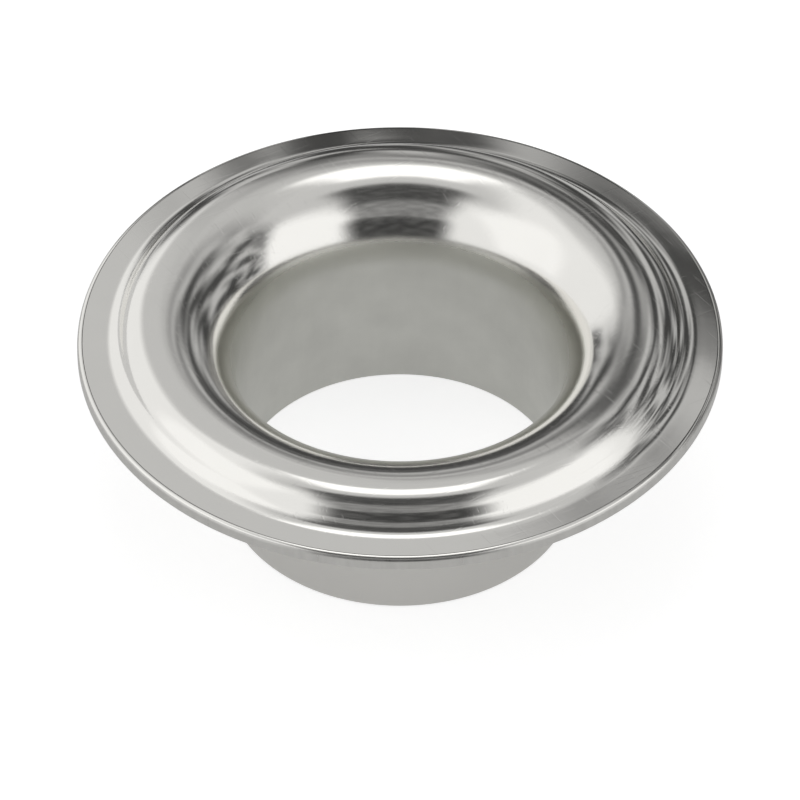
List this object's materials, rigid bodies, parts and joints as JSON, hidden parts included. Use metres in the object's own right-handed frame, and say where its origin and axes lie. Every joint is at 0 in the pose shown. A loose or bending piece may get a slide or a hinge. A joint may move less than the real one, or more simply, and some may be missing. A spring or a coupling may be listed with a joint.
{
  "type": "grommet eyelet",
  "caption": "One-piece eyelet drawn from thin plated sheet: a short open barrel that flares through a rounded funnel into a raised crest and a flat outer brim.",
  "frame": {"origin": "centre of the barrel's cut end, where the eyelet stands before it is set", "axes": "+Z along the barrel's axis, out of the flange's visible face; round about Z, so +X is free"},
  "size_m": [0.0118, 0.0118, 0.0043],
  "materials": {
    "nickel_plate": "bright nickel plating over drawn sheet, satin in the bore and under the brim"
  },
  "bodies": {
    "root": {"eyelet": "nickel_plate"}
  },
  "joints": []
}
